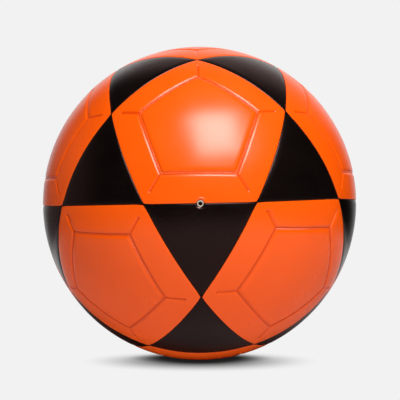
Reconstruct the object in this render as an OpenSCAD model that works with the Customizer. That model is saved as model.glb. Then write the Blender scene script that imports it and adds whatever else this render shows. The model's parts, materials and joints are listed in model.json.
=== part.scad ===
// Soccer ball: twelve pentagon panels and twenty triangle panels bonded over a wound rubber bladder.
// Every seam lies on one of six great circles. The origin is the centre of the ball, +Z is the centre of
// the top pentagon, and the valve is at -Y, on the level seam.

/* [Ball] */
// Outside diameter over the cover
ball_d = 220; // [180:1:230]

/* [Cover panels] */
// Thickness of a panel, skin and foam backing together
cover_t = 3; // [2:0.1:5]
// Gap between the edges of two neighbouring panels
seam_gap = 0.2; // [0.1:0.05:0.4]
// Width of the channel that the bevelled panel edges form along a seam
seam_w = 1.6; // [1:0.1:3]
// Depth of that channel
seam_depth = 0.5; // [0.2:0.1:1]
// How far a panel's tips are trimmed back, past the gap, where four panels meet
tip_trim = 0.15; // [0.1:0.05:1]

/* [Pressed line on the pentagons] */
// Distance from a seam to the pressed line beside it, along the surface
line_inset = 18.6; // [14:0.2:26]
// Length of the spur that runs on from each corner of the line
spur_len = 12; // [6:0.5:14]
// Width of the line at the surface
line_w = 2.8; // [2:0.1:4]
// Depth of the line below the surface
line_depth = 1; // [0.5:0.1:1.4]
// Width of a spur at the surface
spur_w = 1.6; // [1:0.1:2.5]
// Depth of a spur below the surface
spur_depth = 0.5; // [0.3:0.1:0.8]
// How much wider the dimple at a corner is than the crossing of the lines there
corner_extra = 0.6; // [0.4:0.1:1.5]
// How much deeper that dimple is than the line
corner_drop = 0.1; // [0.05:0.05:0.3]
// Extra radius of the round end of each spur
spur_end_extra = 0.2; // [0.1:0.05:0.5]

/* [Layers under the cover] */
// Adhesive film between two layers
glue_t = 0.1; // [0.1:0.05:0.3]
// Thickness of the moulded rubber carcass
carcass_t = 1.2; // [0.6:0.1:2]
// Thickness of the thread winding
winding_t = 1; // [0.5:0.1:2]
// Thickness of the bladder wall
bladder_t = 1.2; // [0.8:0.1:2]

/* [Valve] */
// Diameter of the pump needle
needle_d = 2; // [1.8:0.05:2.2]
// Clearance round the needle
needle_clearance = 0.15; // [0.1:0.01:0.2]
// Depth of the needle bore below its countersink
needle_depth = 11; // [8:0.5:13]
// Diameter of the countersink at the mouth
mouth_d = 2.9; // [2.8:0.1:3.2]
// Depth of the countersink
mouth_depth = 0.4; // [0.2:0.1:0.8]
// Diameter of the plug's stem, whose end shows in the cover
stem_d = 4; // [3.8:0.1:5]
// Depth of the stem's end below the surface
stem_recess = 0.3; // [0.1:0.1:0.8]
// Diameter of the bulb that locks the plug in its housing
bulb_d = 7; // [6:0.1:8]
// Length of the bulb, with its two tapered ends
bulb_len = 9; // [7.5:0.5:12]
// Length of each tapered end
bulb_taper = 1.5; // [1:0.1:2]
// Width of the slit that the needle opens
slit_w = 0.2; // [0.1:0.05:0.3]
// Length of the slit across the bulb
slit_len = 2; // [1.5:0.1:2.2]
// Clearance round the plug
plug_clearance = 0.15; // [0.1:0.05:0.3]
// Wall of the housing round the plug
housing_wall = 1.6; // [1.2:0.1:2.5]
// Diameter of the housing's flange inside the bladder
flange_d = 32; // [24:1:40]
// Thickness of the flange
flange_t = 1.2; // [0.8:0.1:2]
// Height of rubber between the flange's inner face and the bulb
bulb_drop = 1.5; // [1:0.1:3]

/* [Hidden] */
$fn = 120;
overrun = 1;

// Radii of the faces, from the surface inward
ball_r = ball_d / 2;
cover_inner_r = ball_r - cover_t;
carcass_r = cover_inner_r - glue_t;
carcass_inner_r = carcass_r - carcass_t;
winding_r = carcass_inner_r - glue_t;
winding_inner_r = winding_r - winding_t;
bladder_r = winding_inner_r - glue_t;
bladder_inner_r = bladder_r - bladder_t;
flange_r = bladder_inner_r - glue_t;
flange_inner_r = flange_r - flange_t;

// Angles of the panel layout, seen from the centre of the ball
golden = (1 + sqrt(5)) / 2;
pentagon_apothem = atan(1 / 2);
triangle_apothem = atan(1 / (2 * golden * golden));
ring_lat = atan(1 / 2);
belt_lat = triangle_apothem;
cap_lat = 90 - pentagon_apothem - triangle_apothem;
ring_step = 360 / 5;
edge_half = 18;
edge_overrun = 5;

// Pressed line: a round tool rolled along great circles, with its centre just above the surface
line_tool_r = tool_radius(line_w, line_depth);
line_path_r = ball_r - line_depth + line_tool_r;
corner_w = line_w / cos(ring_step / 2) + corner_extra;
corner_depth = line_depth + corner_drop;
corner_tool_r = tool_radius(corner_w, corner_depth);
corner_path_r = ball_r - corner_depth + corner_tool_r;
spur_tool_r = tool_radius(spur_w, spur_depth);
spur_path_r = ball_r - spur_depth + spur_tool_r;
line_apothem = pentagon_apothem - along(line_inset);
line_corner = atan(tan(line_apothem) / cos(ring_step / 2));
line_half = asin(sin(line_corner) * sin(ring_step / 2));
spur_angle = along(spur_len);

// Valve, measured from the centre of the ball along the valve's axis
needle_r = needle_d / 2 + needle_clearance;
stem_r = stem_d / 2;
stem_end = ball_r - stem_recess;
bore_end = stem_end - mouth_depth - needle_depth;
bulb_r = bulb_d / 2;
bulb_top = flange_inner_r - bulb_drop;
bulb_bottom = bulb_top - bulb_len;
stem_hole_r = stem_r + plug_clearance;
bulb_hole_r = bulb_r + plug_clearance;
neck_r = stem_hole_r + housing_wall;
barrel_r = bulb_hole_r + housing_wall;
neck_top = carcass_r - glue_t;
neck_hole_r = neck_r + glue_t;
barrel_bottom = bulb_bottom - plug_clearance - housing_wall;
air_hole_r = bulb_r - bulb_taper;

// Panels: name, azimuth from the valve, latitude, and the turn that points a corner up or down
steps = [0 : 4];
pentagons = concat(
  [["pentagon_top", 0, 90, 180]],
  [for (i = steps) [str("pentagon_upper_", i + 1), i * ring_step, ring_lat, 0]],
  [for (i = steps) [str("pentagon_lower_", i + 1), (i + 0.5) * ring_step, -ring_lat, 180]],
  [["pentagon_bottom", 0, -90, 180]]
);
triangles = concat(
  [for (i = steps) [str("triangle_upper_cap_", i + 1), (i + 0.5) * ring_step, cap_lat, 180]],
  [for (i = steps) [str("triangle_upper_belt_", i + 1), (i + 0.5) * ring_step, belt_lat, 0]],
  [for (i = steps) [str("triangle_lower_belt_", i + 1), i * ring_step, -belt_lat, 180]],
  [for (i = steps) [str("triangle_lower_cap_", i + 1), i * ring_step, -cap_lat, 0]]
);

orange = [0.95, 0.36, 0.04];
black = [0.06, 0.055, 0.055];
tan_rubber = [0.62, 0.5, 0.36];
thread_white = [0.86, 0.84, 0.78];
butyl_black = [0.12, 0.12, 0.13];
plug_cream = [0.9, 0.87, 0.8];

// Angle at the centre of the ball of a length along its surface
function along(length) = length / ball_r * 180 / PI;

// Radius of a round tool that presses to a width and depth
function tool_radius(width, depth) = (width * width / 4 + depth * depth) / (2 * depth);

// Places a panel built round +Z at an azimuth and latitude, with its first corner to the north
module aim(panel) {
  rotate([90 - panel[2], 0, panel[1]])
    rotate(90 + panel[3])
      children();
}

// Turns the level plane into the plane of a great circle that passes +Z at the given angle
module great_circle(side, apothem) {
  rotate([0, 0, side])
    rotate([0, apothem - 90, 0])
      children();
}

// Revolves a profile along an arc that is centred on +X
module arc_sweep(half_angle) {
  rotate(-half_angle)
    rotate_extrude(angle = 2 * half_angle)
      children();
}

// Ball with its poles level, clear of a panel built round +Z
module ball(radius) {
  rotate([0, 90, 0])
    sphere(radius);
}

module shell(outer, inner) {
  difference() {
    ball(outer);
    ball(inner);
  }
}

// Block at a corner of a panel, which trims its tip square
module tip_trimmer(angle) {
  rotate([0, angle, 0])
    translate([-seam_gap - tip_trim, -seam_w, 0])
      cube([2 * seam_w, 2 * seam_w, ball_d]);
}

module inside_of_edge() {
  translate([-ball_d, -ball_d, seam_gap / 2])
    cube([2 * ball_d, 2 * ball_d, ball_d]);
}

module seam_channel() {
  slope = seam_w / 2 / seam_depth;
  arc_sweep(edge_half + edge_overrun)
    polygon([
      [ball_r - seam_depth, 0],
      [ball_r + overrun, (seam_depth + overrun) * slope],
      [ball_r + overrun, -(seam_depth + overrun) * slope]
    ]);
}

// Panel built round +Z, with its first corner towards +X
module panel_blank(sides, apothem) {
  step = 360 / sides;
  corner = atan(tan(apothem) / cos(step / 2));
  difference() {
    intersection() {
      shell(ball_r, cover_inner_r);
      intersection_for (i = [0 : sides - 1])
        great_circle((i + 0.5) * step, apothem)
          inside_of_edge();
    }
    for (i = [0 : sides - 1]) {
      great_circle((i + 0.5) * step, apothem)
        seam_channel();
      rotate(i * step)
        tip_trimmer(corner);
    }
  }
}

module dimple(angle, path_r, tool_r) {
  rotate([0, angle, 0])
    translate([0, 0, path_r])
      sphere(tool_r);
}

// One side of the pressed pentagon
module line_side() {
  arc_sweep(line_half)
    translate([line_path_r, 0])
      circle(line_tool_r);
}

// Spur that runs from a corner of the pressed pentagon towards the panel's corner
module line_spur() {
  rotate([0, line_corner + spur_angle / 2 - 90, 0])
    rotate([90, 0, 0])
      arc_sweep(spur_angle / 2)
        translate([spur_path_r, 0])
          circle(spur_tool_r);
}

module pressed_line() {
  for (i = steps) {
    great_circle((i + 0.5) * ring_step, line_apothem)
      line_side();
    rotate(i * ring_step) {
      line_spur();
      dimple(line_corner, corner_path_r, corner_tool_r);
      dimple(line_corner + spur_angle, spur_path_r, spur_tool_r + spur_end_extra);
    }
  }
}

// Turns +Z to the valve's axis, pointing out of the ball
module at_valve() {
  rotate([90, 0, 0])
    children();
}

module valve_way(radius) {
  at_valve()
    cylinder(h = ball_d, r = radius);
}

module pentagon_panel(panel) {
  color(orange)
    difference() {
      aim(panel)
        difference() {
          panel_blank(5, pentagon_apothem);
          pressed_line();
        }
      valve_way(stem_hole_r);
    }
}

module triangle_panel(panel) {
  color(black)
    difference() {
      aim(panel)
        panel_blank(3, triangle_apothem);
      valve_way(stem_hole_r);
    }
}

// Closed layer with the hole that the valve's neck passes through
module layer(outer, inner) {
  difference() {
    shell(outer, inner);
    valve_way(neck_hole_r);
  }
}

module carcass() {
  color(tan_rubber)
    layer(carcass_r, carcass_inner_r);
}

module thread_winding() {
  color(thread_white)
    layer(winding_r, winding_inner_r);
}

module bladder() {
  color(butyl_black)
    layer(bladder_r, bladder_inner_r);
}

// Domed flange that is bonded to the inside of the bladder
module valve_flange() {
  intersection() {
    shell(flange_r, flange_inner_r);
    cylinder(h = ball_d, r = flange_d / 2);
  }
}

module valve_housing() {
  color(butyl_black)
    at_valve()
      difference() {
        union() {
          valve_flange();
          translate([0, 0, barrel_bottom])
            cylinder(h = flange_inner_r + flange_t / 2 - barrel_bottom, r = barrel_r);
          translate([0, 0, barrel_bottom])
            cylinder(h = neck_top - barrel_bottom, r = neck_r);
        }
        cylinder(h = ball_d, r = stem_hole_r);
        cylinder(h = barrel_bottom + overrun, r = air_hole_r);
        translate([0, 0, bulb_bottom - plug_clearance])
          cylinder(h = bulb_len + 2 * plug_clearance, r = bulb_hole_r);
      }
}

// Soft plug that seals round the needle: a stem, a bulb, the needle bore and a slit below it
module valve_plug() {
  color(plug_cream)
    at_valve()
      difference() {
        rotate_extrude()
          polygon([
            [0, bulb_bottom],
            [bulb_r - bulb_taper, bulb_bottom],
            [bulb_r, bulb_bottom + bulb_taper],
            [bulb_r, bulb_top - bulb_taper],
            [stem_r, bulb_top],
            [stem_r, stem_end],
            [0, stem_end]
          ]);
        translate([0, 0, bore_end])
          cylinder(h = stem_end - bore_end + overrun, r = needle_r);
        translate([0, 0, stem_end - mouth_depth])
          cylinder(h = mouth_depth, r1 = needle_r, r2 = mouth_d / 2);
        translate([-slit_len / 2, -slit_w / 2, bulb_bottom - overrun])
          cube([slit_len, slit_w, bore_end - bulb_bottom + 2 * overrun]);
      }
}

for (p = pentagons) {
  pentagon_panel(p);
}
for (t = triangles) {
  triangle_panel(t);
}
carcass();
thread_winding();
bladder();
valve_housing();
valve_plug();
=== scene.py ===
# Soccer ball: cover panels, valve plug, studio floor and light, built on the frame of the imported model
import json
import math

import bpy
import numpy as np
from mathutils import Matrix, Vector, noise


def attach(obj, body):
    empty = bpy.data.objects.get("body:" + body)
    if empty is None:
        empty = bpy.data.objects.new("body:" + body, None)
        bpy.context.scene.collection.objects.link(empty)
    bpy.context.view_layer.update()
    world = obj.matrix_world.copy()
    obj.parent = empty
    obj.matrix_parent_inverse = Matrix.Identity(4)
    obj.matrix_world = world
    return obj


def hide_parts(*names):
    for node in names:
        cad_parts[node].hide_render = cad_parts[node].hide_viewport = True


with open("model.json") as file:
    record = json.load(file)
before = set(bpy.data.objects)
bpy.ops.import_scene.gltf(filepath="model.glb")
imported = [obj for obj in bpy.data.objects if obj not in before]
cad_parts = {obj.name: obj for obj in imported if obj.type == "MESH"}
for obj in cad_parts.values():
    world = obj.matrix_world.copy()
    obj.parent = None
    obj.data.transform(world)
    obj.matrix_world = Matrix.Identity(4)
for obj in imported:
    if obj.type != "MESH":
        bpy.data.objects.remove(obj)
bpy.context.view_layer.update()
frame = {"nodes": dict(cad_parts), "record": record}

# Sizes, in metres and radians. The ball and the needle bore come from the frame.
MM = 0.001
RIGHT_ANGLE = math.pi / 2
HALF_TURN = math.pi
FULL_TURN = 2 * math.pi
mounts = {mount["name"]: mount for mount in frame["record"]["mounts"]}
BALL_R = -mounts["ground_contact"]["pos_m"][2]
NEEDLE_R = mounts["needle_port"]["dims"]["r_mm"] * MM
COVER_T = 3.0 * MM
SEAM_GAP = 0.2 * MM

# Panels: angle from middle to side, soft fall towards the seam, round into the gap, and blunted corners
GOLDEN = (1 + math.sqrt(5)) / 2
PENTAGON = {
    "sides": 5,
    "apothem": math.atan(1 / 2),
    "fall": 0.15 * MM,
    "fall_w": 3.0 * MM,
    "round": 0.25 * MM,
    "blunt": 0.5 * MM,
}
TRIANGLE = {
    "sides": 3,
    "apothem": math.atan(1 / (2 * GOLDEN ** 2)),
    "fall": 0.35 * MM,
    "fall_w": 4.0 * MM,
    "round": 0.45 * MM,
    "blunt": 0.0,
}
BLUNT_W = 2.2 * MM

# Layout: all seams lie on six great circles, and between the poles the panels stand in rings of five
RING_COUNT = 5
RING_STEP = FULL_TURN / RING_COUNT
RING_LAT = PENTAGON["apothem"]
BELT_LAT = TRIANGLE["apothem"]
CAP_LAT = RIGHT_ANGLE - PENTAGON["apothem"] - TRIANGLE["apothem"]
VALVE_PANELS = ("pentagon_upper_1", "triangle_lower_belt_1")

# Pressed line on the pentagons: distance out from its crease, depth and slope, in mm
LINE_INSET = 18.2 * MM
OUTER_LIP = (
    (0.08, 0.68, 0),
    (0.38, 0.47, -0.72),
    (1.0, 0.16, -0.34),
    (2.1, 0, 0),
)
STEEP_SECTION = (
    (-4.7, 0, 0),
    (-2.2, 0.2, 0.2),
    (-1.5, 0.56, 0.9),
    (-1.15, 0.72, 0),
    (-0.35, 0.55, -0.2),
    (-0.08, 0.6, 0.5),
    *OUTER_LIP,
)
# On the lower panels the floor of the line slopes down to the crease, with no steep wall
SLOPED_SECTION = (
    (-4.2, 0, 0),
    (-2.4, 0.12, 0.2),
    (-1.2, 0.42, 0.27),
    (-0.15, 0.66, 0.15),
    *OUTER_LIP,
)

# Painted shade at the outer and the inner edge of the line's floor: distance, width and strength
DEEP_CREASE_SHADE = ((0.05 * MM, 0.28 * MM, 0.9), (-1.15 * MM, 0.38 * MM, 0.3))
FAINT_CREASE_SHADE = ((0.05 * MM, 0.28 * MM, 0.35), (-1.15 * MM, 0.38 * MM, 0.3))
SLOPED_CREASE_SHADE = ((0.06 * MM, 0.34 * MM, 0.9), (-1.15 * MM, 0.38 * MM, 0.2))

# Floor of the line with its soft edges, and the rounding of the line's corners
LINE_FLOOR = (-1.1 * MM, -0.1 * MM)
FLOOR_SOFT = 0.3 * MM
CORNER_ROUND = 0.3 * MM
CORNER_REACH = 5.0 * MM

# Spurs that run on from the corners of the line, each with a dimple at its end: sections as above, then the
# strength of the painted shade in a spur and the widths of that painted shade in spurs and dimples
SPUR_LEN = 12.0 * MM
SPUR_SECTION = ((0, 0.6, 0), (0.5, 0.38, -0.75), (1.25, 0, 0))
DIMPLE_SECTION = ((0, 0.6, 0), (0.5, 0.42, -0.75), (1.2, 0, 0))
SPUR_SHADE = 0.6
SPUR_SHADE_W = 0.45 * MM
DIMPLE_SHADE_W = 0.6 * MM

# Spurs that differ from the rest, by panel and corner: width, depth and painted shade, as shares of the usual
USUAL_SPUR = (1, 1, 1)
ODD_SPURS = {
    ("pentagon_upper_1", 1): (2.2, 1.0, 1.4),
    ("pentagon_lower_1", 2): (1.2, 1.8, 0.2),
    ("pentagon_lower_5", 3): (1.2, 1.8, 0.2),
}

# How the line sits off the middle of a panel: mm towards its first corner, mm across and degrees of turn
NO_SHIFT = (0, 0, 0)
LINE_SHIFT = {
    "pentagon_upper_1": (-0.05, 0.3, -0.6),
    "pentagon_lower_1": (-0.9, 0.2, -2.5),
    "pentagon_lower_5": (-0.5, -0.8, -2.5),
}

# Valve plug, from its outer end inward
STEM_R = 2.0 * MM
STEM_RECESS = 0.35 * MM
MOUTH_R = 1.35 * MM
MOUTH_DEPTH = 1.2 * MM
BORE_DEPTH = 11.4 * MM
BULB_R = 3.5 * MM
BULB_TOP = 9.5 * MM
BULB_BOTTOM = 18.5 * MM
BULB_TAPER = 1.5 * MM
PLUG_TURNS = 48
LIP_POINTS = 13

# Hole for the plug, the cover drawn aside round it, and the puckered rim
HOLE_R = 2.15 * MM
WARP_FULL = 8.0 * MM
WARP_END = 18.0 * MM
PUCKER_R = 3.2 * MM
PUCKER_W = 0.5 * MM
PUCKER_H = 0.26 * MM

# Slow unevenness of the bonded cover
WAVE_LEN = 16.0 * MM
WAVE_H = 0.04 * MM

# Where the glue drew the cover's corners: degrees round from the valve and up, then mm round and mm up
SETTLED = (
    (0, 58.3, -0.2, 0.4),
    (72, 58.3, -0.7, 0.6),
    (-72, 58.3, -0.4, -1.2),
    (36, 31.7, -0.3, -0.3),
    (-36, 31.7, -0.1, -0.4),
    (18, 0, 0.2, 0.0),
    (-18, 0, -0.3, -0.08),
    (54, 0, 1.0, 1.8),
    (-54, 0, 0.1, -0.35),
    (0, -31.7, 0.05, 0.9),
    (72, -31.7, 1.6, 0.3),
    (-72, -31.7, 0.4, -0.3),
    (36, -58.3, 2.0, -0.9),
    (-36, -58.3, -2.3, -0.8),
)
SETTLED_REACH = 0.5

# Points along half a side: reach and count at a spur, a plain corner, the valve and a plain middle
SPUR_ZONE = (3.2 * MM / BALL_R, 16)
TIP_ZONE = (2.4 * MM / BALL_R, 6)
VALVE_ZONE = (9.0 * MM / BALL_R, 30)
PLAIN_ZONE = (2.5 * MM / BALL_R, 1)
BETWEEN_COUNT = 10

# Rings of a panel: steps between marks across the line, round the spurs' ends and towards the edge
COARSE_STEP = 2.5 * MM
LINE_MARKS = (-4.7 * MM, -2.0 * MM, 1.4 * MM, 2.4 * MM)
LINE_STEPS = (0.35 * MM, 0.1 * MM, 0.2 * MM)
SPUR_END_REACH = 1.4 * MM
SPUR_END_STEP = 0.2 * MM
VALVE_REACH = 4.5 * MM
VALVE_STEP = 0.25 * MM
FALL_STEP = 0.4 * MM
ROUND_REACH = 0.5 * MM
ROUND_STEP = 0.05 * MM

# Wall and inner face of a panel: depths of the wall's rings, and how many rings the inner face has
WALL_SHARES = (0.12, 0.5, 1.0)
INNER_RINGS = 7

# Further than any place on a panel, and differences too small to count
FAR = 1.0
LEAST_GAP = 1e-9
STEP_SLACK = 1e-6
ON_EDGE = 1e-12
LEAST_SUM = 1e-30


def panel_layout():
    """Name, azimuth from the valve, latitude and turn of every panel, in two lists"""
    pentagons = [("pentagon_top", 0, RIGHT_ANGLE, HALF_TURN), ("pentagon_bottom", 0, -RIGHT_ANGLE, HALF_TURN)]
    triangles = []
    for i in range(RING_COUNT):
        level = i * RING_STEP
        between = (i + 0.5) * RING_STEP
        pentagons.append((f"pentagon_upper_{i + 1}", level, RING_LAT, 0))
        pentagons.append((f"pentagon_lower_{i + 1}", between, -RING_LAT, HALF_TURN))
        triangles.append((f"triangle_upper_cap_{i + 1}", between, CAP_LAT, HALF_TURN))
        triangles.append((f"triangle_upper_belt_{i + 1}", between, BELT_LAT, 0))
        triangles.append((f"triangle_lower_belt_{i + 1}", level, -BELT_LAT, HALF_TURN))
        triangles.append((f"triangle_lower_cap_{i + 1}", level, -CAP_LAT, 0))
    return pentagons, triangles


def aim(azimuth, latitude, turn):
    """Turns a panel built round +Z, with its first corner at +X, to its place on the ball"""
    place = Matrix.Rotation(azimuth, 3, "Z") @ Matrix.Rotation(RIGHT_ANGLE - latitude, 3, "X")
    return np.array(place @ Matrix.Rotation(RIGHT_ANGLE + turn, 3, "Z"))


# Polygons on the sphere
def corner_angle(apothem, sides):
    """Angle from the middle of a polygon to its corners"""
    return math.atan(math.tan(apothem) / math.cos(math.pi / sides))


def half_side(apothem, sides):
    """Angle from the middle of a side to its end"""
    return math.asin(math.sin(corner_angle(apothem, sides)) * math.sin(math.pi / sides))


def unit(angle, azimuth):
    """Direction at an angle from +Z"""
    flat = math.sin(angle)
    return np.array([flat * math.cos(azimuth), flat * math.sin(azimuth), math.cos(angle)])


def angle_from(points, direction):
    """Angles between unit vectors and a direction"""
    return np.arccos(np.clip(points @ direction, -1, 1))


def angle_past(points, normal):
    """Angles of unit vectors past the plane that has a normal"""
    return np.arcsin(np.clip(points @ normal, -1, 1))


def settled(points):
    """Points moved round the ball to where the cover's corners settled, at the same radius"""
    radius = np.linalg.norm(points, axis=1)[:, None]
    moved = points / radius
    total = np.zeros_like(moved)
    for azimuth, latitude, round_mm, up_mm in SETTLED:
        turn = math.radians(azimuth)
        lift = math.radians(latitude)
        corner = np.array([math.sin(turn) * math.cos(lift), -math.cos(turn) * math.cos(lift), math.sin(lift)])
        east = np.array([math.cos(turn), math.sin(turn), 0])
        north = np.cross(corner, east)
        share = np.exp(-(angle_from(moved, corner) / SETTLED_REACH) ** 2)
        total += share[:, None] * (round_mm * east + up_mm * north)
    moved = moved + total * MM / BALL_R
    return moved / np.linalg.norm(moved, axis=1)[:, None] * radius


def smooth(value):
    """Smooth step from 0 to 1"""
    share = np.clip(value, 0, 1)
    return share * share * (3 - 2 * share)


def graded(stop, coarse, zones):
    """Rising marks from 0 to stop, in coarse steps, and in each zone in the zone's own step"""
    marks = [0.0]
    for low, high, step in zones + [(stop, stop, coarse)]:
        for goal, pace in ((low, coarse), (high, step)):
            gap = goal - marks[-1]
            if gap > LEAST_GAP:
                count = math.ceil(gap / pace - STEP_SLACK)
                marks.extend(np.linspace(marks[-1], goal, count + 1)[1:])
    return np.array(marks)


def side_stations(half, corner_zone, middle_zone):
    """Places along a side, from its first corner to just before the next; a zone is a reach and a count"""
    limit = half / 3
    near = min(corner_zone[0], limit)
    mid = min(middle_zone[0], limit)
    marks = np.concatenate([
        np.linspace(0, near, corner_zone[1] + 1),
        np.linspace(near, half - mid, BETWEEN_COUNT + 1)[1:],
        np.linspace(half - mid, half, middle_zone[1] + 1)[1:],
    ])
    return np.concatenate([marks, 2 * half - marks[-2:0:-1]])


def open_notch(along, away):
    """Places along and away from an edge, drawn aside to open a round notch at the edge's middle"""
    spot = along + 1j * np.maximum(away, 0)
    root = np.sqrt(spot * spot - 4 * HOLE_R ** 2 + 0j)
    root = np.where(root.imag < 0, -root, root)
    root = np.where((np.abs(root.imag) < ON_EDGE) & (root.real * along < 0), -root, root)
    moved = (spot + root) / 2 - spot
    fade = 1 - smooth((np.abs(spot) - WARP_FULL) / (WARP_END - WARP_FULL))
    return along + moved.real * fade, away + moved.imag * fade


# Pressed line: a pentagon with a spur running on from each corner
LINE_SIDES = PENTAGON["sides"]
LINE_TURN = FULL_TURN / LINE_SIDES
LINE_APOTHEM = PENTAGON["apothem"] - LINE_INSET / BALL_R
LINE_CORNER = corner_angle(LINE_APOTHEM, LINE_SIDES)
LINE_HALF = half_side(LINE_APOTHEM, LINE_SIDES)
SPUR_END = LINE_CORNER + SPUR_LEN / BALL_R


def line_kind(name):
    """Section and painted crease shade of a panel's line: sloped on the lower panels, the painted shade
    darkest at the valve
    """
    if "lower" in name:
        return SLOPED_SECTION, SLOPED_CREASE_SHADE
    if name in VALVE_PANELS:
        return STEEP_SECTION, DEEP_CREASE_SHADE
    return STEEP_SECTION, FAINT_CREASE_SHADE


def nudge(along, across, turn):
    """Rotation that moves the middle of a panel by two lengths in mm, after a turn in degrees"""
    moved = Vector((along * MM, across * MM, BALL_R))
    tilt = Vector((0, 0, 1)).rotation_difference(moved).to_matrix()
    return np.array(tilt @ Matrix.Rotation(math.radians(turn), 3, "Z"))


def pressed_depth(distance, section):
    """Depth at a distance, on a smooth curve through a section's points"""
    marks, depths, slopes = np.array(section).T
    place = np.clip(distance / MM, marks[0], marks[-1])
    low = np.clip(np.searchsorted(marks, place, side="right") - 1, 0, len(marks) - 2)
    high = low + 1
    gap = marks[high] - marks[low]
    share = (place - marks[low]) / gap
    bend = gap * share * (1 - share) * ((1 - share) * slopes[low] - share * slopes[high])
    return (depths[low] + smooth(share) * (depths[high] - depths[low]) + bend) * MM


def side_place(points):
    """Distance out from the nearest side of the pressed pentagon, and the run along that side"""
    total = np.zeros(len(points))
    furthest = np.full(len(points), -FAR)
    run = np.zeros(len(points))
    for i in range(LINE_SIDES):
        azimuth = (i + 0.5) * LINE_TURN
        beyond = angle_past(points, unit(LINE_APOTHEM + RIGHT_ANGLE, azimuth)) * BALL_R
        sideways = points @ unit(RIGHT_ANGLE, azimuth + RIGHT_ANGLE)
        along = np.arctan2(sideways, points @ unit(LINE_APOTHEM, azimuth)) * BALL_R
        total += np.exp((beyond - CORNER_REACH) / CORNER_ROUND)
        run = np.where(beyond > furthest, along, run)
        furthest = np.maximum(furthest, beyond)
    rounded = CORNER_REACH + CORNER_ROUND * np.log(np.maximum(total, LEAST_SUM))
    return np.where(np.abs(furthest) < CORNER_REACH, rounded, furthest), run


def spur_place(points, spurs):
    """Distance from the nearest spur, as for a width of 1, its depth and the share of its painted shade, and
    distance from an end
    """
    from_spur = np.full(len(points), FAR)
    depths = np.ones(len(points))
    tints = np.ones(len(points))
    from_end = np.full(len(points), FAR)
    for i, (width, depth, tint) in enumerate(spurs):
        azimuth = i * LINE_TURN
        start = unit(LINE_CORNER, azimuth)
        across = unit(LINE_CORNER + RIGHT_ANGLE, azimuth)
        turn = np.clip(np.arctan2(points @ across, points @ start), 0, SPUR_LEN / BALL_R)
        spot = np.cos(turn)[:, None] * start + np.sin(turn)[:, None] * across
        distance = np.linalg.norm(points - spot, axis=1) * BALL_R / width
        depths = np.where(distance < from_spur, depth, depths)
        tints = np.where(distance < from_spur, tint, tints)
        from_spur = np.minimum(from_spur, distance)
        end = unit(SPUR_END, azimuth)
        from_end = np.minimum(from_end, np.linalg.norm(points - end, axis=1) * BALL_R)
    return from_spur, depths, tints, from_end


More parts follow.
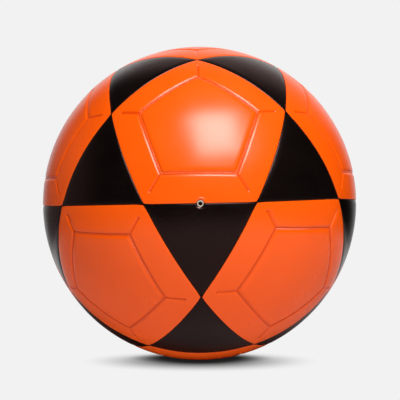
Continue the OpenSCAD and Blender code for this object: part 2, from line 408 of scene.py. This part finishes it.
class Panel:
    """One cover panel, built round +Z with its first corner at +X and then turned to its place"""

    def __init__(self, name, place, shape):
        self.place = place
        self.sides = shape["sides"]
        self.apothem = shape["apothem"]
        self.edge = self.apothem - SEAM_GAP / 2 / BALL_R
        self.edge_fall = shape["fall"]
        self.edge_fall_w = shape["fall_w"]
        self.edge_round = shape["round"]
        self.blunt = shape["blunt"]
        self.at_valve = name in VALVE_PANELS
        self.valve_side = self.sides // 2
        self.has_line = shape is PENTAGON
        self.section, self.crease_shades = line_kind(name)
        self.line_shift = LINE_SHIFT.get(name, NO_SHIFT)
        self.spurs = [ODD_SPURS.get((name, i), USUAL_SPUR) for i in range(self.sides)]

    def side_azimuth(self, side):
        """Azimuth of the middle of a side"""
        return (side + 0.5) * FULL_TURN / self.sides

    def ring(self, apothem):
        """Unit vectors along the polygon at an apothem, with the same count for every apothem"""
        half = half_side(apothem, self.sides)
        corner_zone = SPUR_ZONE if self.has_line else TIP_ZONE
        rows = []
        for side in range(self.sides):
            notched = self.at_valve and side == self.valve_side
            stations = side_stations(half, corner_zone, VALVE_ZONE if notched else PLAIN_ZONE)
            along = (stations - half) * BALL_R
            away = np.full_like(along, (self.edge - apothem) * BALL_R)
            if notched:
                along, away = open_notch(along, away)
            tilt = self.edge - away / BALL_R
            azimuth = self.side_azimuth(side)
            outward = np.array([math.cos(azimuth), math.sin(azimuth), 0])
            tangent = np.array([-math.sin(azimuth), math.cos(azimuth), 0])
            middle = np.sin(tilt)[:, None] * outward + np.cos(tilt)[:, None] * np.array([0, 0, 1])
            turn = along / BALL_R
            rows.append(np.cos(turn)[:, None] * middle + np.sin(turn)[:, None] * tangent)
        return self.blunted(np.concatenate(rows))

    def blunted(self, points):
        """Points drawn in a little where they come close to a corner"""
        angle = np.arccos(np.clip(points[:, 2], -1, 1))
        near = np.clip((angle - corner_angle(self.edge, self.sides)) * BALL_R / BLUNT_W + 1, 0, 1)
        angle -= near * self.blunt / BALL_R
        flat = points[:, :2] / np.linalg.norm(points[:, :2], axis=1)[:, None]
        return np.column_stack([np.sin(angle)[:, None] * flat, np.cos(angle)])

    def edge_distance(self, points):
        """Distance from the panel's edge, along the surface"""
        nearest = np.full(len(points), FAR)
        for side in range(self.sides):
            inward = -unit(self.apothem + RIGHT_ANGLE, self.side_azimuth(side))
            nearest = np.minimum(nearest, angle_past(points, inward))
        distance = nearest * BALL_R - SEAM_GAP / 2
        if self.at_valve:
            distance = np.minimum(distance, self.valve_distance(points) - HOLE_R)
        return np.maximum(distance, 0)

    def valve_distance(self, points):
        """Distance from the valve's axis, along the surface"""
        return angle_from(points, unit(self.apothem, self.side_azimuth(self.valve_side))) * BALL_R

    def fall(self, points):
        """How far the surface lies below the ball's radius, and the values that the finish reads"""
        from_edge = self.edge_distance(points)
        drop = self.edge_fall * np.clip(1 - from_edge / self.edge_fall_w, 0, 1) ** 2
        inside = np.clip(self.edge_round - from_edge, 0, self.edge_round)
        drop += self.edge_round - np.sqrt(self.edge_round ** 2 - inside ** 2)
        values = {}
        if self.has_line:
            line_drop, values = self.pressed(points)
            drop += line_drop
        if self.at_valve:
            offset = (self.valve_distance(points) - PUCKER_R) / PUCKER_W
            drop -= PUCKER_H * np.exp(-offset ** 2)
        return drop, values

    def pressed(self, points):
        """Depth of the pressed line with its spurs, and what the finish reads of them, painted shade among it
        """
        centred = points @ nudge(*self.line_shift)
        across, run = side_place(centred)
        from_spur, spur_depth, spur_shade, from_end = spur_place(centred, self.spurs)
        drop = pressed_depth(from_spur, SPUR_SECTION) * spur_depth
        drop = np.maximum(drop, pressed_depth(from_end, DIMPLE_SECTION))
        drop = np.maximum(drop, pressed_depth(across, self.section))
        # Painted shade: darker in the spurs, in their end dimples and along the line's crease lines
        crease = SPUR_SHADE * spur_shade * np.exp(-(from_spur / SPUR_SHADE_W) ** 2)
        crease = np.maximum(crease, np.exp(-(from_end / DIMPLE_SHADE_W) ** 2))
        for middle, width, strength in self.crease_shades:
            crease = np.maximum(crease, strength * np.exp(-((across - middle) / width) ** 2))
        low, high = LINE_FLOOR
        values = {
            "floor": smooth((across - low) / FLOOR_SOFT) * smooth((high - across) / FLOOR_SOFT),
            "crease": crease,
            "run": run,
            "across": across,
            "backing": np.zeros(len(points)),
        }
        return drop, values

    def ring_apothems(self):
        """Apothems of the rings that cover the outer face, closer together where the shape changes fast"""
        stop = self.edge * BALL_R
        zones = []
        if self.has_line:
            along, across, turn = self.line_shift
            room = math.hypot(along, across) * MM + abs(math.radians(turn)) * LINE_HALF * BALL_R
            marks = [LINE_APOTHEM * BALL_R + mark + math.copysign(room, mark) for mark in LINE_MARKS]
            zones.extend(zip(marks, marks[1:], LINE_STEPS))
            spur_end = math.atan(math.tan(SPUR_END) * math.cos(math.pi / LINE_SIDES)) * BALL_R
            zones.append((spur_end - SPUR_END_REACH - room, spur_end + SPUR_END_REACH + room, SPUR_END_STEP))
        if self.at_valve:
            zones.append((stop - VALVE_REACH, stop - ROUND_REACH, VALVE_STEP))
        else:
            zones.append((stop - self.edge_fall_w, stop - ROUND_REACH, FALL_STEP))
        zones.append((stop - ROUND_REACH, stop, ROUND_STEP))
        return graded(stop, COARSE_STEP, zones) / BALL_R

    def build(self):
        """Closed mesh of rings, from the middle of the outer face round the wall to that of the inner face"""
        outer = [self.ring(apothem) for apothem in self.ring_apothems()[1:]]
        count = len(outer[0])
        points = np.concatenate([np.array([[0, 0, 1.0]])] + outer)
        drop, values = self.fall(points)
        turned = points @ self.place.T
        waves = np.array([noise.noise(Vector(point) * (BALL_R / WAVE_LEN)) for point in turned])
        radius = BALL_R - drop + WAVE_H * (waves - 1)
        layers = [points * radius[:, None]]
        rim = outer[-1]
        rim_r = radius[-count:].mean()
        inner_r = BALL_R - COVER_T
        for share in WALL_SHARES:
            layers.append(rim * (rim_r + (inner_r - rim_r) * share))
        for share in np.linspace(1, 0, INNER_RINGS + 2)[1:-1]:
            layers.append(self.ring(self.edge * share) * inner_r)
        layers.append(np.array([[0, 0, inner_r]]))
        vertices = settled(np.concatenate(layers) @ self.place.T)
        faces = ring_faces((len(vertices) - 2) // count, count)
        hidden = len(vertices) - len(points)
        for key, column in values.items():
            values[key] = np.concatenate([column, np.full(hidden, float(key == "backing"))])
        return vertices, faces, values


# Objects
def ring_faces(rings, count):
    """Faces that join a first point, rings of count points and a last point into a closed skin"""
    faces = []
    last = rings * count + 1
    for here in range(count):
        beside = (here + 1) % count
        faces.append((0, 1 + here, 1 + beside))
        for ring in range(rings - 1):
            low = 1 + ring * count
            high = low + count
            faces.append((low + here, high + here, high + beside, low + beside))
        low = 1 + (rings - 1) * count
        faces.append((low + here, last, low + beside))
    return faces


def new_object(name, vertices, faces, finish, values=None):
    """Smooth object with one material, and a point attribute for each of the values"""
    mesh = bpy.data.meshes.new(name)
    mesh.from_pydata(vertices.tolist(), [], faces)
    mesh.polygons.foreach_set("use_smooth", np.ones(len(mesh.polygons), bool))
    for key, numbers in (values or {}).items():
        mesh.attributes.new(key, "FLOAT", "POINT").data.foreach_set("value", numbers.astype(np.float32))
    mesh.materials.append(finish)
    mesh.validate()
    mesh.update()
    piece = bpy.data.objects.new(name, mesh)
    bpy.context.scene.collection.objects.link(piece)
    return piece


def stand_for(piece, node):
    """Puts a piece on the ball in place of a node"""
    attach(piece, "root")
    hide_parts(node)


def plug_profile():
    """Half section of the plug with a rounded lip and mouth: distances from its axis and the ball's centre"""
    top = BALL_R - STEM_RECESS
    lip = (STEM_R - MOUTH_R) / 2
    points = [
        (BULB_R - BULB_TAPER, BALL_R - BULB_BOTTOM),
        (BULB_R, BALL_R - BULB_BOTTOM + BULB_TAPER),
        (BULB_R, BALL_R - BULB_TOP - BULB_TAPER),
        (STEM_R, BALL_R - BULB_TOP),
    ]
    for angle in np.linspace(0, HALF_TURN, LIP_POINTS):
        points.append((STEM_R - lip + lip * math.cos(angle), top - lip + lip * math.sin(angle)))
    points.append((NEEDLE_R, top - MOUTH_DEPTH))
    points.append((NEEDLE_R, top - BORE_DEPTH))
    return points


def build_plug(finish):
    """Plug turned round the valve's axis, which points to -Y"""
    profile = plug_profile()
    spin = np.linspace(0, FULL_TURN, PLUG_TURNS, endpoint=False)
    layers = [np.array([[0, -profile[0][1], 0]])]
    for radius, height in profile:
        depth = np.full(PLUG_TURNS, -height)
        layers.append(np.stack([radius * np.cos(spin), depth, radius * np.sin(spin)], axis=1))
    layers.append(np.array([[0, -profile[-1][1], 0]]))
    return new_object("plug", np.concatenate(layers), ring_faces(len(profile), PLUG_TURNS), finish)


# Materials, with the numbers of a mix node's colour sockets
MIX_FIRST = 6
MIX_SECOND = 7
MIX_RESULT = 2


class Nodes:
    """The nodes of a material or a world, with short ways to add and join them"""

    def __init__(self, owner):
        owner.use_nodes = True
        self.tree = owner.node_tree

    def feed(self, target, value):
        """Joins an input to another node's output, or sets it to a value; colours come without alpha"""
        if isinstance(value, bpy.types.NodeSocket):
            self.tree.links.new(value, target)
        elif target.type == "RGBA":
            target.default_value = (*value, 1)
        else:
            target.default_value = value

    def fill(self, node, **inputs):
        """Feeds inputs by name; an underscore stands for a space"""
        for key, value in inputs.items():
            self.feed(node.inputs[key.replace("_", " ")], value)

    def add(self, kind, settings=None, **inputs):
        """New node with its settings, and with inputs fed by name"""
        node = self.tree.nodes.new("ShaderNode" + kind)
        for key, value in (settings or {}).items():
            setattr(node, key, value)
        self.fill(node, **inputs)
        return node

    def math(self, operation, *values, kind="Math"):
        """Result of an operation on numbers, or on vectors if the kind is VectorMath"""
        node = self.add(kind, {"operation": operation})
        for target, value in zip(node.inputs, values):
            self.feed(target, value)
        return node.outputs["Value"]

    def ranged(self, source, low, high, to_low, to_high):
        """Straight line from to_low, where the source is low, to to_high, where it is high"""
        limits = {"From_Min": low, "From_Max": high, "To_Min": to_low, "To_Max": to_high}
        node = self.add("MapRange", Value=source, **limits)
        return node.outputs["Result"]

    def ramp(self, source, low, high, top=1.0):
        """Smooth rise from 0, where the source is low, to top, where it is high"""
        settings = {"interpolation_type": "SMOOTHSTEP"}
        node = self.add("MapRange", settings, Value=source, From_Min=low, From_Max=high, To_Max=top)
        return node.outputs["Result"]

    def mixed(self, factor, first, second, blend="MIX"):
        """Mix of two colours"""
        node = self.add("Mix", {"data_type": "RGBA", "blend_type": blend}, Factor=factor)
        self.feed(node.inputs[MIX_FIRST], first)
        self.feed(node.inputs[MIX_SECOND], second)
        return node.outputs[MIX_RESULT]

    def shared(self, share, first, second):
        """The first shader where the share is 0, and the second where it is 1"""
        node = self.add("MixShader", Fac=share)
        self.feed(node.inputs[1], first.outputs[0])
        self.feed(node.inputs[2], second.outputs[0])
        return node.outputs[0]


class Finish(Nodes):
    """A material with one principled shader"""

    def __init__(self, name):
        self.material = bpy.data.materials.new(name)
        super().__init__(self.material)
        self.place = self.add("TexCoord").outputs["Object"]

    def done(self, **inputs):
        """The material, after its shader is fed"""
        self.fill(self.tree.nodes["Principled BSDF"], **inputs)
        return self.material


# Leather: slow patches, spread of its roughness, pebbles, pores, ribs of the line, and dark backing
PATCH_SCALE = 45.0
PATCH_RANGE = (0.3, 0.7)
LEATHER_SPREAD = 0.015
PEBBLE_SIZE = 0.9 * MM
PEBBLE_H = 0.12 * MM
PORE_SIZE = 0.25 * MM
PORE_H = 0.03 * MM
PORE_SHARE = 0.5
CORD_PITCH = 1.3 * MM
CORD_SLANT = 0.9
CORD_H = 0.13 * MM
BACKING = (0.012, 0.010, 0.010)

# Rubber: size and range of its specks, their height, and the spread of its roughness
SPECK_SIZE = 0.6 * MM
SPECK_RANGE = (0.35, 0.65)
SPECK_H = 0.05 * MM
RUBBER_RANGE = (0.3, 0.7)
RUBBER_SPREAD = 0.05

# Thread: scale and height of its bands
BAND_SCALE = 180.0
BAND_H = 0.2 * MM


def leather(name, deep, bright, roughness, ior, gloss_tint, grain, line_shade_tints=None):
    """Synthetic leather with slow patches, pebbles and pores, and the ribs and painted shade of a line if its
    shade colours are given
    """
    finish = Finish(name)
    patches = finish.add("TexNoise", Vector=finish.place, Scale=PATCH_SCALE, Detail=1.0).outputs["Fac"]
    pebbles = finish.add("TexVoronoi", Vector=finish.place, Scale=1 / PEBBLE_SIZE, Randomness=0.9)
    pores = finish.add("TexNoise", Vector=finish.place, Scale=1 / PORE_SIZE, Detail=2.0).outputs["Fac"]
    colour = finish.mixed(finish.ranged(patches, *PATCH_RANGE, 0, 1), deep, bright)
    rough = finish.ranged(patches, *PATCH_RANGE, roughness - LEATHER_SPREAD, roughness + LEATHER_SPREAD)
    coarse = finish.add("Bump", Strength=grain, Distance=PEBBLE_H, Height=pebbles.outputs["Distance"])
    skin = finish.add(
        "Bump", Strength=grain * PORE_SHARE, Distance=PORE_H, Height=pores, Normal=coarse.outputs["Normal"])
    if line_shade_tints:
        colour, skin = line_marks(finish, colour, skin, *line_shade_tints)
    return finish.done(
        Base_Color=colour, Roughness=rough, Normal=skin.outputs["Normal"], IOR=ior, Specular_Tint=gloss_tint)


def line_marks(finish, colour, skin, floor_shade_tint, crease_shade_tint):
    """Colour with painted shade on the pressed line's floor and along its crease lines, spurs and dimples,
    skin with the line's ribs, and the panel's dark backing
    """
    floor, crease, run, across, backing = (
        finish.add("Attribute", {"attribute_name": key}).outputs["Fac"]
        for key in ("floor", "crease", "run", "across", "backing"))
    colour = finish.mixed(floor, colour, floor_shade_tint, "MULTIPLY")
    colour = finish.mixed(crease, colour, crease_shade_tint, "MULTIPLY")
    colour = finish.mixed(backing, colour, BACKING)
    slanted = finish.math("ADD", run, finish.math("MULTIPLY", across, CORD_SLANT))
    wave = finish.math("SINE", finish.math("MULTIPLY", slanted, FULL_TURN / CORD_PITCH))
    cords = finish.math("MULTIPLY", wave, floor)
    ribbed = finish.add("Bump", Strength=1.0, Distance=CORD_H, Height=cords, Normal=skin.outputs["Normal"])
    return colour, ribbed


def rubber(name, deep, bright, roughness):
    """Matt moulded rubber with a fine speckle"""
    finish = Finish(name)
    specks = finish.add("TexNoise", Vector=finish.place, Scale=1 / SPECK_SIZE, Detail=3.0).outputs["Fac"]
    colour = finish.mixed(finish.ranged(specks, *SPECK_RANGE, 0, 1), deep, bright)
    rough = finish.ranged(specks, *RUBBER_RANGE, roughness - RUBBER_SPREAD, roughness + RUBBER_SPREAD)
    bump = finish.add("Bump", Strength=0.25, Distance=SPECK_H, Height=specks)
    return finish.done(Base_Color=colour, Roughness=rough, Normal=bump.outputs["Normal"])


def thread(name, deep, bright):
    """Wound thread: fine wavering bands"""
    finish = Finish(name)
    winding = finish.add("TexWave", Vector=finish.place, Scale=BAND_SCALE, Distortion=6.0, Detail=3.0)
    bands = winding.outputs["Fac"]
    colour = finish.mixed(bands, deep, bright)
    bump = finish.add("Bump", Strength=0.6, Distance=BAND_H, Height=bands)
    return finish.done(Base_Color=colour, Roughness=0.8, Normal=bump.outputs["Normal"])


ORANGE = leather(
    "orange_leather",
    deep=(0.85, 0.091, 0.0010),
    bright=(0.88, 0.095, 0.0012),
    roughness=0.26,
    ior=1.45,
    gloss_tint=(1, 0.94, 0.94),
    grain=0.06,
    # Painted shade: a faint one on the pressed line's floor, and a dark one along its crease lines, spurs and
    # dimples
    line_shade_tints=((0.97, 0.95, 0.9), (0.66, 0.36, 0.2)),
)
BLACK = leather(
    "black_leather",
    deep=(0.0026, 0.0016, 0.0014),
    bright=(0.0038, 0.0024, 0.0021),
    roughness=0.25,
    ior=1.5,
    gloss_tint=(1, 0.56, 0.53),
    grain=0.35,
)
CREAM = rubber("cream_rubber", (0.45, 0.40, 0.32), (0.54, 0.48, 0.40), roughness=0.5)
INNER_FINISHES = {
    "carcass": rubber("carcass_rubber", (0.010, 0.009, 0.009), (0.016, 0.014, 0.014), roughness=0.7),
    "thread_winding": thread("white_thread", (0.62, 0.58, 0.49), (0.76, 0.72, 0.62)),
    "bladder": rubber("butyl", (0.011, 0.011, 0.013), (0.016, 0.016, 0.018), roughness=0.6),
    "valve_housing": rubber("housing_rubber", (0.012, 0.012, 0.013), (0.018, 0.018, 0.02), roughness=0.6),
}

# The ball
pentagons, triangles = panel_layout()
COVER = ((pentagons, PENTAGON, ORANGE, "cover_orange"), (triangles, TRIANGLE, BLACK, "cover_black"))
for rows, shape, finish, slot in COVER:
    for name, azimuth, latitude, turn in rows:
        vertices, faces, values = Panel(name, aim(azimuth, latitude, turn), shape).build()
        stand_for(new_object(name + "_skin", vertices, faces, finish, values), name)
stand_for(build_plug(CREAM), "valve_plug")
for node, finish in INNER_FINISHES.items():
    frame["nodes"][node].data.materials.clear()
    frame["nodes"][node].data.materials.append(finish)

# Floor: its plain colour and size, then the shades of its matt part for camera, gloss and matt surfaces
PALE = (0.887, 0.887, 0.887)
FLOOR_R = 5.0 * BALL_R
FLOOR_POINTS = 64
# The camera's matt shade is near black, so inside the ovals below the camera sees a painted shadow
FLOOR_SEEN = 0.02
FLOOR_MIRRORED = 0.3
FLOOR_LIT = 0.9

# Ovals of a painted shadow beneath the ball, seen by the camera: middle, half width and half depth, and
# shares of these between which it fades
SHADOW_TURN = math.radians(-6.2)
CORE_OVAL = ((-0.015 * BALL_R, 0.0), (0.497 * BALL_R, 0.237 * BALL_R))
PAINTED_CORE_EDGE = (0.47, 1.0)
WING_OVAL = ((-0.016 * BALL_R, -0.112 * BALL_R), (0.784 * BALL_R, 0.422 * BALL_R))
PAINTED_WING_EDGE = (0.1, 1.0)

# Share of the plain floor that the camera sees in the middle of the painted shadow
PAINTED_SHADOW_LEVEL = 0.014

# Glowing ring of plain floor beneath the ball that only matt surfaces see, lighting the ball's underside
# though it is no lamp: shares of the core's and the wing's oval
UNDER_GLOW_START = (0.9, 1.8)
UNDER_GLOW_END = (1.6, 0.9)

# Where the floor behind the ball turns plain for gloss
MIRROR_Y = (0.5 * BALL_R, 3.0 * BALL_R)

# Room: direction, angles from it in degrees where its light starts and is full, and its level
BACKDROP = ((0, 0.98, 0.2), 40, 15)
ROOM_LIGHT = 0.12
ROOM_TINT = (1, 0.74, 0.68)
ROOM_GLOW = (
    ((0.15, 0.75, 0.63), 38, 10, 0.42),
    ((-0.9, 0.42, 0.0), 40, 20, 0.15),
)

# A wide softbox and its brighter middle: direction, distance, width and height, and power
SOFTBOXES = {
    "key": ((0.205, -0.646, 0.736), 1.2, (0.75, 0.75), 8.6),
    "key_core": ((0.172, -0.652, 0.739), 1.19, (0.52, 0.58), 11.4),
}


def ray_kinds(nodes):
    """Sockets that are 1 for rays from the camera, from gloss or glass, and from matt surfaces"""
    path = nodes.add("LightPath").outputs
    mirrored = nodes.math("ADD", path["Is Glossy Ray"], path["Is Transmission Ray"])
    return path["Is Camera Ray"], mirrored, path["Is Diffuse Ray"]


def oval_reach(nodes, middle, size):
    """Distance from a place on the floor, as a share of an oval's half width and half depth"""
    place = nodes.add("TexCoord").outputs["Object"]
    spot = {"Location": (*middle, 0), "Rotation": (0, 0, SHADOW_TURN), "Scale": (*size, 1)}
    stretched = nodes.add("Mapping", {"vector_type": "TEXTURE"}, Vector=place, **spot)
    return nodes.math("LENGTH", stretched.outputs["Vector"], kind="VectorMath")


def facing(nodes, direction, low, high, top=1.0):
    """Rises from 0 to top as a ray turns towards a direction; low and high are angles from it, in degrees"""
    ray = nodes.add("TexCoord").outputs["Generated"]
    closeness = nodes.math("DOT_PRODUCT", ray, Vector(direction).normalized(), kind="VectorMath")
    return nodes.ramp(closeness, math.cos(math.radians(low)), math.cos(math.radians(high)), top)


def weighted(nodes, *pairs):
    """Sum of the products of pairs"""
    total = 0.0
    for first, second in pairs:
        total = nodes.math("ADD", total, nodes.math("MULTIPLY", first, second))
    return total


def floor_material():
    """Mix of a plain pale floor and a matt one, with a share and a shade for each kind of ray: the camera
    sees a painted shadow, and matt surfaces a glowing ring beneath the ball
    """
    material = bpy.data.materials.new("pale_floor")
    nodes = Nodes(material)
    nodes.tree.nodes.clear()
    seen, mirrored, matt_lit = ray_kinds(nodes)
    from_core = oval_reach(nodes, *CORE_OVAL)
    from_wing = oval_reach(nodes, *WING_OVAL)
    behind = nodes.add("SeparateXYZ", Vector=nodes.add("TexCoord").outputs["Object"]).outputs["Y"]
    # Painted shadow for the camera: plain floor outside the two ovals, the near-black matt floor inside them
    beyond = nodes.math("MULTIPLY", nodes.ramp(from_core, *PAINTED_CORE_EDGE), nodes.ramp(from_wing, *PAINTED_WING_EDGE))
    painted_shadow_plain = nodes.ranged(beyond, 0, 1, PAINTED_SHADOW_LEVEL, 1)
    # Glowing ring that lights the ball's underside
    under = nodes.math("MULTIPLY", nodes.ramp(from_core, *UNDER_GLOW_START), nodes.ramp(from_wing, *UNDER_GLOW_END))
    far = nodes.ramp(behind, *MIRROR_Y)
    plain_share = weighted(nodes, (seen, painted_shadow_plain), (mirrored, far), (matt_lit, under))
    shade = weighted(nodes, (seen, FLOOR_SEEN), (mirrored, FLOOR_MIRRORED), (matt_lit, FLOOR_LIT))
    matt = nodes.add("BsdfDiffuse", Color=shade)
    plain = nodes.add("Emission", Color=PALE)
    nodes.add("OutputMaterial", Surface=nodes.shared(plain_share, matt, plain))
    return material


def build_floor():
    """Round floor at the ball's lowest point"""
    spin = np.linspace(0, FULL_TURN, FLOOR_POINTS, endpoint=False)
    rim = [(FLOOR_R * math.cos(angle), FLOOR_R * math.sin(angle), 0) for angle in spin]
    mesh = bpy.data.meshes.new("floor")
    mesh.from_pydata(rim, [], [range(len(rim))])
    mesh.materials.append(floor_material())
    floor = bpy.data.objects.new("floor", mesh)
    floor.location = (0, 0, -BALL_R)
    bpy.context.scene.collection.objects.link(floor)


def build_world():
    """Pale backdrop behind the ball, and a dim room with a softly lit part for each row of ROOM_GLOW"""
    world = bpy.data.worlds.new("studio")
    nodes = Nodes(world)
    nodes.tree.nodes.clear()
    seen, mirrored, _ = ray_kinds(nodes)
    behind = nodes.math("MULTIPLY", mirrored, facing(nodes, *BACKDROP))
    glow = nodes.ramp(mirrored, 1, 0, ROOM_LIGHT)
    for row in ROOM_GLOW:
        glow = nodes.math("ADD", glow, facing(nodes, *row))
    room = nodes.add("Background", Color=ROOM_TINT, Strength=glow)
    backdrop = nodes.add("Background", Color=PALE)
    nodes.add("OutputWorld", Surface=nodes.shared(nodes.math("ADD", seen, behind), room, backdrop))
    bpy.context.scene.world = world


def softbox(name, direction, distance, size, power):
    """Lamp with an even face that looks at the ball's centre"""
    lamp = bpy.data.lights.new(name, "AREA")
    lamp.shape = "RECTANGLE"
    lamp.size, lamp.size_y = size
    lamp.energy = power
    box = bpy.data.objects.new(name, lamp)
    towards = Vector(direction).normalized()
    box.location = towards * distance
    box.rotation_mode = "QUATERNION"
    box.rotation_quaternion = (-towards).to_track_quat("-Z", "Y")
    bpy.context.scene.collection.objects.link(box)


build_floor()
build_world()
for name, row in SOFTBOXES.items():
    softbox(name, *row)

# Camera, fitted to the ball's outline and seam corners in the photo's 400 pixel frame
IMAGE_SIZE = 400
FOCAL_PX = 951.5
CENTRE_PX = (199.56, 203.35)
DISTANCE = 6.155 * BALL_R
SENSOR_MM = 36
CLIP_START = 0.01

# How the ball is turned in the camera's view: an axis whose length is the angle in degrees
TURN_DEG = Vector((0.08, -0.709, 0.242))

camera_data = bpy.data.cameras.new("camera")
camera_data.sensor_width = SENSOR_MM
camera_data.lens = FOCAL_PX / IMAGE_SIZE * SENSOR_MM
camera_data.shift_x = (IMAGE_SIZE / 2 - CENTRE_PX[0]) / IMAGE_SIZE
camera_data.shift_y = (CENTRE_PX[1] - IMAGE_SIZE / 2) / IMAGE_SIZE
camera_data.clip_start = CLIP_START
camera = bpy.data.objects.new("camera", camera_data)
ball_turn = Matrix.Rotation(math.radians(TURN_DEG.length), 3, TURN_DEG)
right, ahead, up = ball_turn
axes = Matrix((right, up, -ahead)).transposed()
camera.matrix_world = Matrix.Translation(-DISTANCE * ahead) @ axes.to_4x4()
bpy.context.scene.collection.objects.link(camera)
bpy.context.scene.camera = camera
bpy.context.scene.view_settings.view_transform = "Standard"
